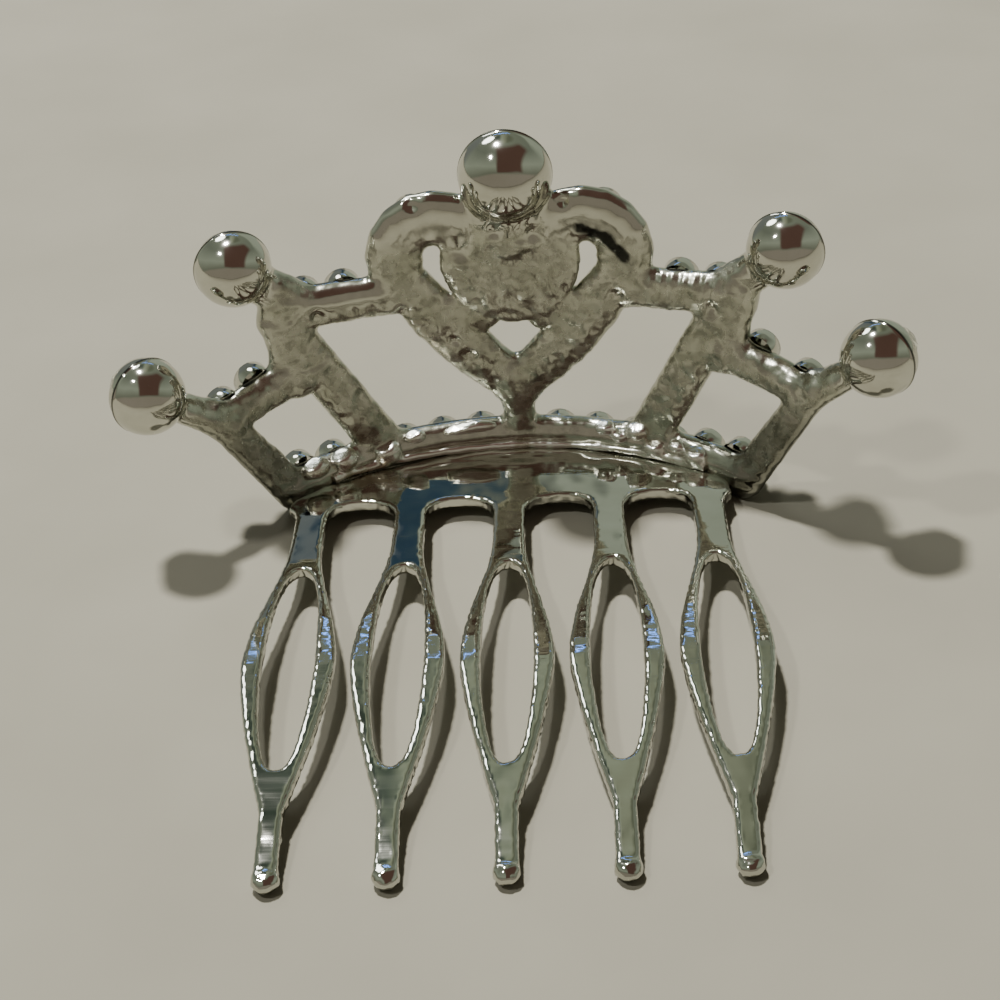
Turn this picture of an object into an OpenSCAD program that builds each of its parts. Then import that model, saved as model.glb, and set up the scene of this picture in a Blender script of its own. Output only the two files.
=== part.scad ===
// Mini tiara on a hair comb. Millimetres.
// The tiara stands on its band, stones facing -Y. The comb's teeth reach to +Y and rest on
// their tips. The cast frame is laid out flat on a pattern, along u and up w, and then bent:
// the band is bent most, and the points above it less.

/* [Band] */
// Length of the base band along its curve
band_length = 36.4; // [35:0.2:38]
// Height of the base band
band_height = 3.1; // [2.9:0.1:3.3]
// Bend radius at the foot of the band
bend_radius = 21.8; // [21:0.2:24]
// Share of the bend that each millimetre of height takes away
bend_fade = 0.032; // [0.026:0.001:0.033]
// How far the frame leans back over the comb, for each millimetre of height
lean = 0.055; // [0.04:0.005:0.07]
// Thickness of the cast bars, front to back
cast_depth = 2; // [1.8:0.1:2.2]
// Distance from one band stone to the next
band_stone_pitch = 2.8; // [2.75:0.05:2.9]

/* [Heart] */
// Distance of each lobe's centre from the middle
lobe_u = 5.2; // [5:0.1:5.4]
// Height of the lobes' centres
lobe_w = 17.3; // [17:0.1:17.6]
// Radius of the ring's centre line in a lobe
lobe_radius = 2.95; // [2.9:0.05:3.1]
// Height of the ring's centre line at the tip of the heart
heart_tip_w = 6; // [5.8:0.1:6.2]
// Width of the heart's ring at its tip
heart_tip_bar = 3.3; // [3.1:0.1:3.5]
// Width of the heart's ring at the end of its lobes
heart_lobe_bar = 4.1; // [3.8:0.1:4.2]
// How far the heart's sides bulge
heart_bulge = 0.5; // [0.3:0.1:0.7]
// Radius of the cup that holds the heart's stone
heart_cup_radius = 4.3; // [4.1:0.1:4.5]
// Height of that cup's centre
heart_cup_w = 16; // [15.8:0.1:16.2]
// Radius of the wider dome that closes the heart's back
heart_dome_radius = 5; // [4.9:0.05:5.1]

/* [Points] */
// Radius of the middle ball
middle_ball_radius = 3.25; // [3:0.05:3.4]
// Height of the middle ball's centre
middle_ball_w = 23.3; // [23:0.1:23.8]
// Radius of the other four balls
side_ball_radius = 2.7; // [2.5:0.05:2.8]
// Place of the upper balls, along the band
upper_ball_u = 19.4; // [19:0.1:19.8]
// Height of the upper balls
upper_ball_w = 18.5; // [18.3:0.1:18.8]
// Place of the lower balls, along the band
lower_ball_u = 27.5; // [27.2:0.1:27.8]
// Height of the lower balls
lower_ball_w = 12.2; // [12:0.1:12.4]
// How much higher the lower ball on the -X side is bent
lower_ball_lift = 0.9; // [0:0.1:1]

/* [Comb] */
// Distance from one tooth to the next
tooth_pitch = 7; // [6.9:0.05:7.1]
// Length from the band's middle to the tips of the teeth
comb_length = 46.7; // [46:0.1:47.4]
// Thickness of the comb's sheet
comb_sheet = 0.9; // [0.8:0.1:1]
// Width of a tooth at its eye
tooth_width = 6.05; // [5.9:0.05:6.2]
// Width of the eye in a tooth
eye_width = 3.4; // [3.2:0.1:3.6]
// Width of a tooth's neck, next to the bar
neck_width = 2.2; // [2:0.1:2.4]
// Width of a tooth near its tip
shaft_width = 1.4; // [1.3:0.1:1.5]
// How far the comb is soldered off the middle
comb_offset = 0.8; // [0:0.1:1]
// How far the comb is turned out of square, in degrees
comb_turn = 1.3; // [0:0.1:1.5]

/* [Hidden] */
TEETH = 5;
BAND_STONES = 13;
RING_STONES = 13;
SIDES = [-1, 1];

// Depths are measured from the pattern's middle surface, and + is to the front
half_depth = cast_depth / 2;
// Stones on the bars: their width, and the depth of their girdle
small_stone = 2.2;
small_girdle = half_depth + 0.35;
collar_wall = 0.25;
// The collars start this far in front of the middle surface, and stand this much over the girdle's foot
collar_foot = 0.2;
collar_over = 0.3;
POCKET_SIDES = 12;
stone_gap = 0.05;
// Stone in a ball and stone in the heart
ball_rim = 1;
rim_share = 0.88;
rim_wall = 0.28;
middle_stone = 2 * (rim_share * middle_ball_radius - rim_wall);
side_stone = 2 * (rim_share * side_ball_radius - rim_wall);
ball_crown = 0.39;
heart_stone_width = 2 * (heart_cup_radius - 0.65);
heart_girdle = half_depth + 0.7;

// The whole part's front to back length, from the heart's stone to the tips, with its middle at Y 0
front_reach = heart_girdle + girdle_height(heart_stone_width) + crown_height(heart_stone_width)
    - lean * heart_cup_w;
back_reach = comb_length + tooth_x(TEETH - 1) * sin(comb_turn);
band_y = (front_reach - back_reach) / 2;

// Places on the pattern, as [along, up]
band_w = band_height / 2;
band_end = [band_length / 2, band_w + 0.1];
bar_w = 14.6;
bar_in = [8.6, bar_w - 0.1];
bar_out = [16.2, bar_w + 0.1];
stem_joint = [22.3, 8.5];
// The two sides were bent by hand and differ a little
function side_joint(side) = stem_joint + [0, side < 0 ? lower_ball_lift * 0.8 : 0];
function post_foot(side) = side < 0 ? [15.8, 11] : [16.6, 10.4];
function strut_top(side) = [side < 0 ? 15.5 : 16.8, 14.2];
function strut_foot(side) = [side < 0 ? 9.5 : 10, band_w + 0.3];
upper_ball = [upper_ball_u, upper_ball_w];
lower_ball = [lower_ball_u, lower_ball_w];
higher_ball = [lower_ball_u - 0.25 * lower_ball_lift, lower_ball_w + lower_ball_lift];
middle_ball = [0, middle_ball_w];
heart_cup = [-0.3, heart_cup_w];
neck_start = bar_out + [-0.9, 0.3];
post_start = bar_out + [-0.2, 0.8];
// From the post's foot to its end and to the stem's start
post_tail = [-0.5, -0.8];
stem_back = [-0.5, -0.5];
// From the stem's joint to the end strut's start
end_strut_start = [0.4, 0.5];

// Widths and depths of the bars
bar_width = 3;
neck_bar_width = 2.8;
strut_width = 3.2;
strut_deep = 1.7;
function post_width(side) = side < 0 ? 2.8 : 3.1;
post_end_width = 2.6;
post_deep = 1.9;
stem_start_width = 2.8;
stem_width = 1.8;
stem_deep = 1.8;
end_strut_width = 2.4;
end_strut_foot_width = 2.8;
end_strut_deep = 1.6;
heart_stem_width = 2.6;
heart_stem_foot_width = 2.3;
heart_stem_deep = 1.9;
column_width = 5.4;
column_deep = 3.4;
tie_width = 2;
tie_deep = 1.5;
// Width of the heart's ring, as [share of its points, width]
HEART_WIDTHS = [[0, heart_tip_bar], [0.14, 3.9], [0.21, 3.8], [0.29, 3.2], [0.38, 4], [1, heart_lobe_bar]];

// Comb stations, measured back from the tips of the teeth
kink_at = 5.5;
eye_foot_at = 8.7;
wide_at = 17.9;
eye_top_at = 28.9;
neck_at = 32.2;
bar_at = 38.1;
// Height of the comb's under face at each station, as [back from the tip, height]
COMB_RISE = [[0, 0.2], [1.2, 0.25], [4, 0.75], [8, 1.35], [13, 1.85], [18, 2.1], [23, 2.1], [28, 1.85],
    [33, 1.4], [38, 0.85], [44, 0.15], [52, 0.1]];
// Profile of a tooth's rolled tip, as [radius, height]
TIP_BEAD = [[0, 0], [0.45, 0.06], [0.72, 0.3], [0.8, 0.6], [0.72, 0.9], [0.45, 1.14], [0, 1.2]];
window_corner = 1.1;
// The bar's half outline, as [in from its end, up from its foot]
BAR_CORNER = [[0, 0], [0.3, 2], [1.2, 4], [2.6, 12.6]];
// Height at which the bar meets the band, and the seam between them
solder_w = 0.9;
solder_gap = 0.06;

STONES = concat(
    [for (i = [1:5]) str("point_stone_", i)],
    ["heart_stone"],
    [for (i = [1:RING_STONES]) str("heart_ring_stone_", i)],
    [for (i = [1:4]) str("bar_stone_", i)],
    [for (i = [1:4]) str("stem_stone_", i)],
    [for (i = [1:BAND_STONES]) str("band_stone_", i)]);

// Bending of the pattern

function bend_at(w) = (1 - bend_fade * w) / bend_radius;
function turn_at(p) = p[0] * bend_at(p[1]) * 180 / PI;
// A point of the pattern in space, d in front of its middle surface
function place(p, d = 0) =
    let (r = 1 / bend_at(p[1]), a = turn_at(p))
    [(r + d) * sin(a), band_y + r - (r + d) * cos(a) + lean * p[1], p[1]];

// Puts its children at a point of the pattern, with their Z pointing to the front
module set_at(p, d = 0) {
    translate(place(p, d)) rotate([90, 0, turn_at(p)]) children();
}

// Lines on the pattern

function mix(a, b, s) = a * (1 - s) + b * s;
function line(a, b, steps) = [for (i = [0:steps]) mix(a, b, i / steps)];
function flip(side, path) = [for (p = path) [side * p[0], p[1]]];

// The point where the straight side of the heart meets its lobe
side_slope = atan2(lobe_w - heart_tip_w, lobe_u) - asin(lobe_radius / norm([lobe_u, lobe_w - heart_tip_w]));
LOBE_END = 176;
lobe_start = side_slope - 90;
outwards = [cos(lobe_start), sin(lobe_start)];
function lobe(a, out) = [lobe_u, lobe_w] + (lobe_radius + out) * [cos(a), sin(a)];
// One side of the heart from its tip, moved outwards by that much
function heart_path(out) = concat(
    [for (i = [0:4]) let (s = i / 4)
        mix([0, heart_tip_w], lobe(lobe_start, 0), s) + (4 * heart_bulge * s * (1 - s) + out) * outwards],
    [for (i = [1:10]) lobe(mix(lobe_start, LOBE_END, i / 10), out)]);
heart_side = heart_path(0);

// Length of a path up to its point i, and the place at share s of its whole length
function upto(path, i) = i == 0 ? 0 : upto(path, i - 1) + norm(path[i] - path[i - 1]);
function along(path, s, i = 1) =
    let (all = upto(path, len(path) - 1), far = upto(path, i))
    far >= s * all - 0.0001 || i == len(path) - 1
        ? mix(path[i], path[i - 1], (far - s * all) / norm(path[i] - path[i - 1]))
        : along(path, s, i + 1);

// Cast bars

BAR_SIDES = 8;
// A bar's rounded section, as [across, front]
function bar_section(width, deep) = [for (i = [0:BAR_SIDES - 1])
    let (a = (i + 0.5) * 360 / BAR_SIDES, c = cos(a), s = sin(a))
    [sign(c) * pow(abs(c), 0.75) * width / 2, sign(s) * pow(abs(s), 0.75) * deep / 2]];

function heading(path, i) =
    let (a = path[max(0, i - 1)], b = path[min(len(path) - 1, i + 1)])
    (b - a) / norm(b - a);

// One bent bar along a path of the pattern. Its width is the same all along, or changes evenly to
// end_width, or follows a list like HEART_WIDTHS.
module bar(path, width, deep = cast_depth, end_width = 0) {
    n = len(path);
    widths = is_list(width) ? width : [[0, width], [1, end_width == 0 ? width : end_width]];
    rings = [for (i = [0:n - 1])
        let (h = heading(path, i), across = [h[1], -h[0]])
        for (s = bar_section(lookup(i / (n - 1), widths), deep)) place(path[i] + s[0] * across, s[1])];
    walls = [for (i = [0:n - 2]) for (j = [0:BAR_SIDES - 1])
        let (k = (j + 1) % BAR_SIDES, a = i * BAR_SIDES, b = a + BAR_SIDES)
        [a + j, a + k, b + k, b + j]];
    first = [for (j = [BAR_SIDES - 1:-1:0]) j];
    last = [for (j = [0:BAR_SIDES - 1]) (n - 1) * BAR_SIDES + j];
    polyhedron(rings, concat([first, last], walls), convexity = 6);
}

// A short fat link between two places of the pattern
module link(a, b, width, deep = cast_depth) {
    hull() {
        set_at(a) scale([1, 1, deep / width]) sphere(d = width, $fn = 10);
        set_at(b) scale([1, 1, deep / width]) sphere(d = width, $fn = 10);
    }
}

// Stones

function girdle_height(width) = 0.08 + width * 0.03;
function crown_height(width) = 0.2 + width * 0.22;

// A round stone with an eight-sided table, its girdle's foot at Z 0
module cut_stone(width, crown) {
    r = width / 2;
    girdle = girdle_height(width);
    pavilion = 0.3 * width;
    // Rings of eight from the bottom up, as [radius, height, turn]
    rings = [[0.45 * r, -pavilion, 0], [r, 0, 0.5], [r, girdle, 0.5], [0.83 * r, girdle + 0.62 * crown, 0],
             [0.5 * r, girdle + crown, 0.5]];
    pts = [for (g = rings) for (i = [0:7])
        let (a = (i + g[2]) * 45) [g[0] * cos(a), g[0] * sin(a), g[1]]];
    // A band of triangles from ring g to the next; shift tells how the upper one is turned
    function zigzag(g, up) = [for (i = [0:7])
        let (a = g * 8, b = a + 8, k = (i + 1) % 8, j = (i + up) % 8)
        for (t = up == 0 ? [[a + i, b + i, a + k], [a + k, b + i, b + k]]
                         : [[a + i, b + i, b + k], [a + i, b + k, a + k]]) t];
    straight = [for (i = [0:7]) let (k = (i + 1) % 8) [8 + i, 16 + i, 16 + k, 8 + k]];
    polyhedron(pts, concat(
        [[for (i = [0:7]) i]],
        zigzag(0, 0), straight, zigzag(2, 1), zigzag(3, 0),
        [[for (i = [7:-1:0]) 32 + i]]), convexity = 2);
}

// The stones' places, as [place, depth of the girdle's foot, width]
point_places = [
    [[-higher_ball[0], higher_ball[1]], ball_rim, side_stone],
    [[-upper_ball_u, upper_ball_w], ball_rim, side_stone],
    [middle_ball, ball_rim, middle_stone],
    [upper_ball, ball_rim, side_stone],
    [lower_ball, ball_rim, side_stone]];
POINTS = len(point_places);

ring_share = 0.148;
ring_stones_out = 0.3;
ring_half = [for (i = [1:6]) along(heart_path(ring_stones_out), i * ring_share)];
ring_places = [for (p = concat(
    [for (i = [5:-1:0]) [-ring_half[i][0], ring_half[i][1]]], [[0, heart_tip_w]], ring_half))
    [p, small_girdle, small_stone]];

// The stones on the bars and the stems sit above the middle of the metal
bar_stone_lift = 0.5;
stem_stone_lift = 0.3;
bar_stone_us = [11.8, 14.6];
bar_places = [for (side = SIDES) for (u = bar_stone_us)
    [[side * u, bar_w + bar_stone_lift], small_girdle, small_stone]];

function stem_shares(side) = [side < 0 ? 0.3 : 0.43, 0.88];
stem_places = [for (side = SIDES) for (s = stem_shares(side))
    let (p = mix(post_foot(side), side_joint(side), s))
    [[side * p[0], p[1] + stem_stone_lift], small_girdle, small_stone]];

// The last two band stones of each side sit higher, at the feet of the end struts
function end_lift(i) = lookup(min(i, BAND_STONES - 1 - i), [[0, 0.8], [1, 0.5], [2, 0]]);
band_places = [for (i = [0:BAND_STONES - 1])
    [[(i - (BAND_STONES - 1) / 2) * band_stone_pitch, band_w + end_lift(i)], small_girdle, small_stone]];

small_places = concat(ring_places, bar_places, stem_places, band_places);
all_places = concat(point_places, [[heart_cup, heart_girdle, heart_stone_width]], small_places);

module stone(i) {
    place_of = all_places[i];
    width = place_of[2];
    colour = i <= POINTS ? "Gainsboro" : "Silver";
    color(colour) set_at(place_of[0], place_of[1])
        cut_stone(width, i < POINTS ? ball_crown * width : crown_height(width));
}

// A round pocket for a stone, open to the front
module pocket(width) {
    drop = 0.3 * width + stone_gap;
    translate([0, 0, -drop])
        cylinder(d = (width + 2 * stone_gap) / cos(180 / POCKET_SIDES), h = drop + 3, $fn = POCKET_SIDES);
}

module collar(width) {
    tall = small_girdle + collar_over - collar_foot;
    translate([0, 0, collar_foot - small_girdle])
        cylinder(r = width / 2 + collar_wall, h = tall, $fn = POCKET_SIDES);
}

// Cups

// A ball-backed cup, its seam at Z 0 and its rim in front of it
module ball_cup(r) {
    back = [for (i = [0:6]) let (a = -90 + i * 15) [r * cos(a), 1.04 * r * sin(a)]];
    rotate_extrude($fn = 20)
        polygon(concat(back,
            [[r, 0.12], [rim_share * r, 0.2], [rim_share * r, ball_rim + 0.1], [0, ball_rim + 0.1]]));
}

// The cup that holds the heart's stone
module heart_cup_body() {
    translate([0, 0, -half_depth]) cylinder(r = heart_cup_radius, h = cast_depth + 0.85, $fn = 24);
}

// The dome behind that cup
module heart_dome() {
    r = heart_dome_radius;
    back = -half_depth - 0.35;
    rotate_extrude($fn = 24)
        polygon([[0, back], [0.5 * r, back + 0.08], [0.8 * r, back + 0.4], [r, back + 1.1], [r, back + 1.7],
                 [0, back + 1.7]]);
}

// The frame

module heart() {
    for (side = SIDES) bar(flip(side, heart_side), HEART_WIDTHS);
    // The stem under the heart's tip
    bar([[0, heart_tip_w + 0.4], [0, heart_tip_w - 1.6], [0, band_w + 0.8]],
        heart_stem_width, heart_stem_deep, heart_stem_foot_width);
    set_at(heart_cup) heart_cup_body();
    set_at([0, heart_cup_w + 0.9]) heart_dome();
    // The column that carries the middle ball
    link([0, middle_ball_w - 0.8], [0, heart_cup_w + 3.1], column_width, column_deep);
    // Short ties from the dome to the sides of the heart
    for (side = SIDES)
        link([side * 2, heart_cup_w - 4], [side * 5, heart_cup_w - 3], tie_width, tie_deep);
}

module one_side(side) {
    ball = side < 0 ? higher_ball : lower_ball;
    joint = side_joint(side);
    foot = post_foot(side);
    bar(flip(side, line(bar_in, bar_out, 4)), bar_width);
    bar(flip(side, [neck_start, upper_ball]), neck_bar_width);
    bar(flip(side, line(strut_top(side), strut_foot(side), 5)), strut_width, strut_deep);
    bar(flip(side, [post_start, foot, foot + post_tail]), post_width(side), post_deep, post_end_width);
    bar(flip(side, concat(line(foot + stem_back, joint, 3), [ball])),
        stem_start_width, stem_deep, stem_width);
    bar(flip(side, line(joint + end_strut_start, band_end, 3)),
        end_strut_width, end_strut_deep, end_strut_foot_width);
}

module band() {
    bar(line([-band_length / 2, band_w], [band_length / 2, band_w], 18), band_height);
}

// Blobs of solder on the band's back, which sit just over the comb's bar
solder_us = [-14, -10.4, 7.6, 11.2];
solder_width = 2.2;
solder_blob = 1.1;
// Height of the bar's top just behind the band at u
function bar_top(u) =
    comb_sheet + lookup(comb_length + band_y - place([u, solder_w], -half_depth - 1.4)[1], COMB_RISE);
function blob_foot(u) = bar_top(u) + solder_gap + solder_blob / 2;
module solder() {
    for (u = solder_us) hull() {
        for (end = [u, u + solder_width])
            set_at([end, blob_foot(end) + 0.2], -half_depth + 0.2) sphere(d = solder_blob, $fn = 10);
        set_at([u + solder_width / 2, blob_foot(u + solder_width / 2)], -half_depth - 0.7)
            sphere(d = solder_blob, $fn = 10);
    }
}

module tiara_frame() {
    color("LightGray") difference() {
        union() {
            band();
            heart();
            for (side = SIDES) one_side(side);
            solder();
            for (p = point_places)
                set_at(p[0]) ball_cup(p[0][0] == 0 ? middle_ball_radius : side_ball_radius);
            for (p = small_places) set_at(p[0], p[1]) collar(p[2]);
        }
        for (p = all_places) set_at(p[0], p[1]) pocket(p[2]);
    }
}

// The comb, flat: X across the teeth, Y back from the tips

function ease(s) = (1 - cos(180 * s)) / 2;
function blend_to(a, b, y0, y1, y) = mix(a, b, ease((y - y0) / (y1 - y0)));

// Rises straight from 0 and rounds off at 1
function belly(s) = (s + sin(90 * s)) / 2;

// Half the width of a tooth at y from its tip
function tooth_half(y) =
    y < kink_at ? shaft_width / 2 :
    y < wide_at ? mix(shaft_width, tooth_width, belly((y - kink_at) / (wide_at - kink_at))) / 2 :
    y < neck_at ? blend_to(tooth_width, neck_width, wide_at, neck_at, y) / 2 : neck_width / 2;
// Half the width of the eye
function eye_half(y) =
    let (top = (y - wide_at) / (eye_top_at - wide_at), foot = (wide_at - y) / (wide_at - eye_foot_at))
    eye_width / 2 * (y > wide_at ? pow(1 - pow(top, 2.3), 0.42) : pow(1 - pow(foot, 1.6), 0.4));

module tooth_outline() {
    ys = concat([for (i = [0:20]) mix(kink_at, neck_at, i / 20)], [bar_at + 1.5]);
    end = shaft_width / 2;
    polygon(concat(
        [for (a = [-75:30:-15]) [end * cos(a), end + end * sin(a)]],
        [for (y = ys) [tooth_half(y), y]],
        [for (i = [len(ys) - 1:-1:0]) [-tooth_half(ys[i]), ys[i]]],
        [for (a = [195:30:255]) [end * cos(a), end + end * sin(a)]]));
}

module eye_outline() {
    ys = [for (i = [0:18]) mix(eye_foot_at, eye_top_at, ease(i / 18))];
    polygon(concat([for (y = ys) [eye_half(y), y]],
                   [for (i = [len(ys) - 2:-1:1]) [-eye_half(ys[i]), ys[i]]]));
}

// A rounded corner that fills the angle between a neck and the bar
module window_fillet(side) {
    translate([side * neck_width / 2, bar_at]) difference() {
        translate([side * window_corner / 2, -window_corner / 2 + 0.05])
            square([window_corner, window_corner + 0.1], center = true);
        translate([side * window_corner, -window_corner]) circle(r = window_corner, $fn = 24);
    }
}

function tooth_x(i) = (i - (TEETH - 1) / 2) * tooth_pitch;

// The comb's bar, with its outer corners drawn in
module bar_outline(half) {
    n = len(BAR_CORNER);
    polygon(concat(
        [for (i = [0:n - 1]) [BAR_CORNER[i][0] - half, bar_at + BAR_CORNER[i][1]]],
        [for (i = [n - 1:-1:0]) [half - BAR_CORNER[i][0], bar_at + BAR_CORNER[i][1]]]));
}

module comb_outline() {
    difference() {
        union() {
            for (i = [0:TEETH - 1]) translate([tooth_x(i), 0]) {
                tooth_outline();
                if (i > 0) window_fillet(-1);
                if (i < TEETH - 1) window_fillet(1);
            }
            bar_outline(tooth_x(TEETH - 1) + neck_width / 2);
        }
        for (i = [0:TEETH - 1]) translate([tooth_x(i), 0]) eye_outline();
    }
}

// The comb's side view: a sheet that arches from the tips to the bar
module comb_profile() {
    n = len(COMB_RISE);
    polygon(concat(COMB_RISE, [for (i = [n - 1:-1:0]) COMB_RISE[i] + [0, comb_sheet]]));
}

module comb() {
    half = tooth_pitch * TEETH / 2;
    color("Silver") difference() {
        translate([comb_offset, band_y, 0]) rotate([0, 0, 180 + comb_turn]) translate([0, -comb_length, 0]) {
            intersection() {
                linear_extrude(height = 6) comb_outline();
                translate([-half, 0, 0]) rotate([90, 0, 90]) linear_extrude(height = 2 * half) comb_profile();
            }
            for (i = [0:TEETH - 1])
                translate([tooth_x(i), TIP_BEAD[3][0], 0]) rotate_extrude($fn = 24) polygon(TIP_BEAD);
        }
        // Room for the band, which the bar meets along its back
        translate([0, place([0, solder_w])[1], -1]) difference() {
            translate([-half, -half, 0]) cube([2 * half, half + bend_radius / 2, 9]);
            translate([0, 1 / bend_at(solder_w), -1])
                cylinder(r = 1 / bend_at(solder_w) - half_depth - solder_gap, h = 11, $fn = 160);
        }
    }
}

tiara_frame();
comb();
for (i = [0:len(STONES) - 1]) stone(i);
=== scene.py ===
# Looks of a mini tiara on a hair comb. Shapes are worked out in millimetres, on the same
# flat pattern as the CAD source: u along the band, w up, d to the front. MM turns them to metres.

import math

import bpy
import numpy as np
from mathutils import Matrix, Vector, noise


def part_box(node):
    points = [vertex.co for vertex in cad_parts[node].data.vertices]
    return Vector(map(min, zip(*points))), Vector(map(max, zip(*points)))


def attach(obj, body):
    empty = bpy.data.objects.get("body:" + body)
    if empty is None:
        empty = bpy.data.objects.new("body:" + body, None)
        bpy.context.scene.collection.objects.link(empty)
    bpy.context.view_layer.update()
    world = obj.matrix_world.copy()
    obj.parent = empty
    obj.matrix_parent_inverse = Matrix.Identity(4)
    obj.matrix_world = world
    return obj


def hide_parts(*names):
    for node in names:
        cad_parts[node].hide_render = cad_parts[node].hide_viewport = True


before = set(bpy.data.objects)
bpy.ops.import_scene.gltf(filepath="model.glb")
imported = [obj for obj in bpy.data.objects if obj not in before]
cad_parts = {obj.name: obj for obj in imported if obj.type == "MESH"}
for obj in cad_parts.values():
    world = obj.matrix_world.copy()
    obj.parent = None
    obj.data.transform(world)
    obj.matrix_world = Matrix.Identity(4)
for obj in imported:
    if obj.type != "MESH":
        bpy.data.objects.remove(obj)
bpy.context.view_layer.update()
MM = 0.001
FAR = 1e3


def add_object(name, data):
    obj = bpy.data.objects.new(name, data)
    bpy.context.scene.collection.objects.link(obj)
    return obj


# Camera: the photograph's angle, 34 degrees above the floor

CAMERA_AT = Vector((-7.7, 116.92, 89.5)) * MM
CAMERA_DOWN = math.radians(34)
CAMERA_TURN = math.radians(-3.95)
CAMERA_ROLL = math.radians(-3.8)
# Lens, sensor width and clip start
CAMERA_OPTICS = (79.56, 36, 0.005)


def add_camera():
    """A camera behind the tiara, turned and rolled a little."""
    flat = math.cos(CAMERA_DOWN)
    ahead = Vector((-math.sin(CAMERA_TURN) * flat, -math.cos(CAMERA_TURN) * flat, -math.sin(CAMERA_DOWN)))
    right = Vector((-math.cos(CAMERA_TURN), math.sin(CAMERA_TURN), 0))
    up = right.cross(ahead)
    rolled_right = math.cos(CAMERA_ROLL) * right + math.sin(CAMERA_ROLL) * up
    rolled_up = math.cos(CAMERA_ROLL) * up - math.sin(CAMERA_ROLL) * right
    data = bpy.data.cameras.new("camera")
    data.lens, data.sensor_width, data.clip_start = CAMERA_OPTICS
    camera = add_object("camera", data)
    turn = Matrix((rolled_right, rolled_up, -ahead)).transposed()
    camera.matrix_world = Matrix.Translation(CAMERA_AT) @ turn.to_4x4()
    bpy.context.scene.camera = camera


# The pattern, as in the CAD source: the band, and how it is bent and leans

BAND_LENGTH, BAND_HEIGHT = 36.4, 3.1
BAND_W = BAND_HEIGHT / 2
BEND_RADIUS, BEND_FADE, LEAN = 21.8, 0.032, 0.055
CAST_DEPTH = 2.0
HALF_DEPTH = CAST_DEPTH / 2

# Stones: sizes, the depths of their girdles, and a pavilion's depth as a share of its width
SMALL_STONE = 2.2
SMALL_GIRDLE = HALF_DEPTH + 0.35
HEART_GIRDLE = HALF_DEPTH + 0.7
PAVILION = 0.3

# The heart: lobes, tip, and its bar's widths as (share of its points, width)
LOBE = np.array([5.2, 17.3])
LOBE_RADIUS = 2.95
LOBE_END = math.radians(176)
HEART_TIP = np.array([0.0, 6.0])
HEART_BULGE = 0.5
HEART_WIDTHS = [(0, 3.3), (0.14, 3.9), (0.21, 3.8), (0.29, 3.2), (0.38, 4.0), (1, 4.1)]
SLANT_POINTS, LOBE_POINTS = 5, 11

# The cup behind the heart's stone, and the dome that closes it, as (u, w, radius)
HEART_CUP = np.array([-0.3, 16.0])
CUP_RADIUS = 4.3
CUP_WALL = 0.65
HEART_DOME = (0.0, 16.9, 5.0)
DOME_FRONT = 0.35
DOME_BACK = HALF_DEPTH + 0.35

# The balls at the points, as (u, w, radius)
BALL_RIM = 1.0
RIM_SHARE = 0.88
MIDDLE_BALL = (0.0, 23.3, 3.25)
SIDE_BALLS = [(27.5, 12.2, 2.7), (19.4, 18.5, 2.7), (-19.4, 18.5, 2.7), (-27.275, 13.1, 2.7)]
BALLS = [MIDDLE_BALL] + SIDE_BALLS

# The middle band stone's back gives the band's place in Y
stone_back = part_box("band_stone_7")[1].y / MM
BAND_Y = stone_back - LEAN * BAND_W + SMALL_GIRDLE - PAVILION * SMALL_STONE


def bend_at(w):
    """The pattern's curvature at that height."""
    return (1 - BEND_FADE * w) / BEND_RADIUS


def place(u, w, d):
    """Points of the pattern in space, as rows of x, y, z in millimetres."""
    r = 1 / bend_at(w)
    a = u / r
    y = BAND_Y + r - (r + d) * np.cos(a) + LEAN * w
    return np.stack([(r + d) * np.sin(a), y, w + 0 * a], axis=-1)


def mix(a, b, s):
    return a * (1 - s) + b * s


def heart_side(out=0.0):
    """One side of the heart from its tip, moved outwards by that much."""
    tip_to_lobe = LOBE - HEART_TIP
    reach = np.hypot(*tip_to_lobe)
    start = math.atan2(tip_to_lobe[1], tip_to_lobe[0]) - math.asin(LOBE_RADIUS / reach) - math.pi / 2
    normal = np.array([math.cos(start), math.sin(start)])
    slant = [mix(HEART_TIP, LOBE + LOBE_RADIUS * normal, s) + (4 * HEART_BULGE * s * (1 - s) + out) * normal
             for s in np.linspace(0, 1, SLANT_POINTS)]
    turns = np.linspace(start, LOBE_END, LOBE_POINTS)[1:]
    return slant + [LOBE + (LOBE_RADIUS + out) * np.array([math.cos(a), math.sin(a)]) for a in turns]


# The cast bars' places, as (u, w) on one side. Where the sides differ, 1 is to +X and -1 to -X.

BAR_W = 14.6
BAR_IN = (8.6, BAR_W - 0.1)
BAR_OUT = np.array([16.2, BAR_W + 0.1])
BAND_END = (BAND_LENGTH / 2, BAND_W + 0.1)
BAND_TRIM = 0.8
NECK = [BAR_OUT + [-0.9, 0.3], (19.4, 18.5)]
POST_START = BAR_OUT + [-0.2, 0.8]
POST_FOOT = {1: np.array([16.6, 10.4]), -1: np.array([15.8, 11.0])}
POST_TAIL = [-0.5, -0.8]
STRUT_TOP = {1: (16.8, 14.2), -1: (15.5, 14.2)}
STRUT_FOOT = {1: (10.0, BAND_W + 0.3), -1: (9.5, BAND_W + 0.3)}
STEM_BACK = [-0.5, -0.5]
STEM_JOINT = {1: np.array([22.3, 8.5]), -1: np.array([22.3, 8.5 + 0.8 * 0.9])}
LOWER_BALL = {1: (27.5, 12.2), -1: (27.275, 13.1)}
END_STRUT_START = [0.4, 0.5]
COLUMN = [(0, 22.5), (0, 19.1)]
HEART_STEM = [HEART_TIP + [0, 0.4], HEART_TIP - [0, 1.6], (0, BAND_W + 0.8)]
CUP_LINK = [(2.0, 12.0), (5, 13.0)]

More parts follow.
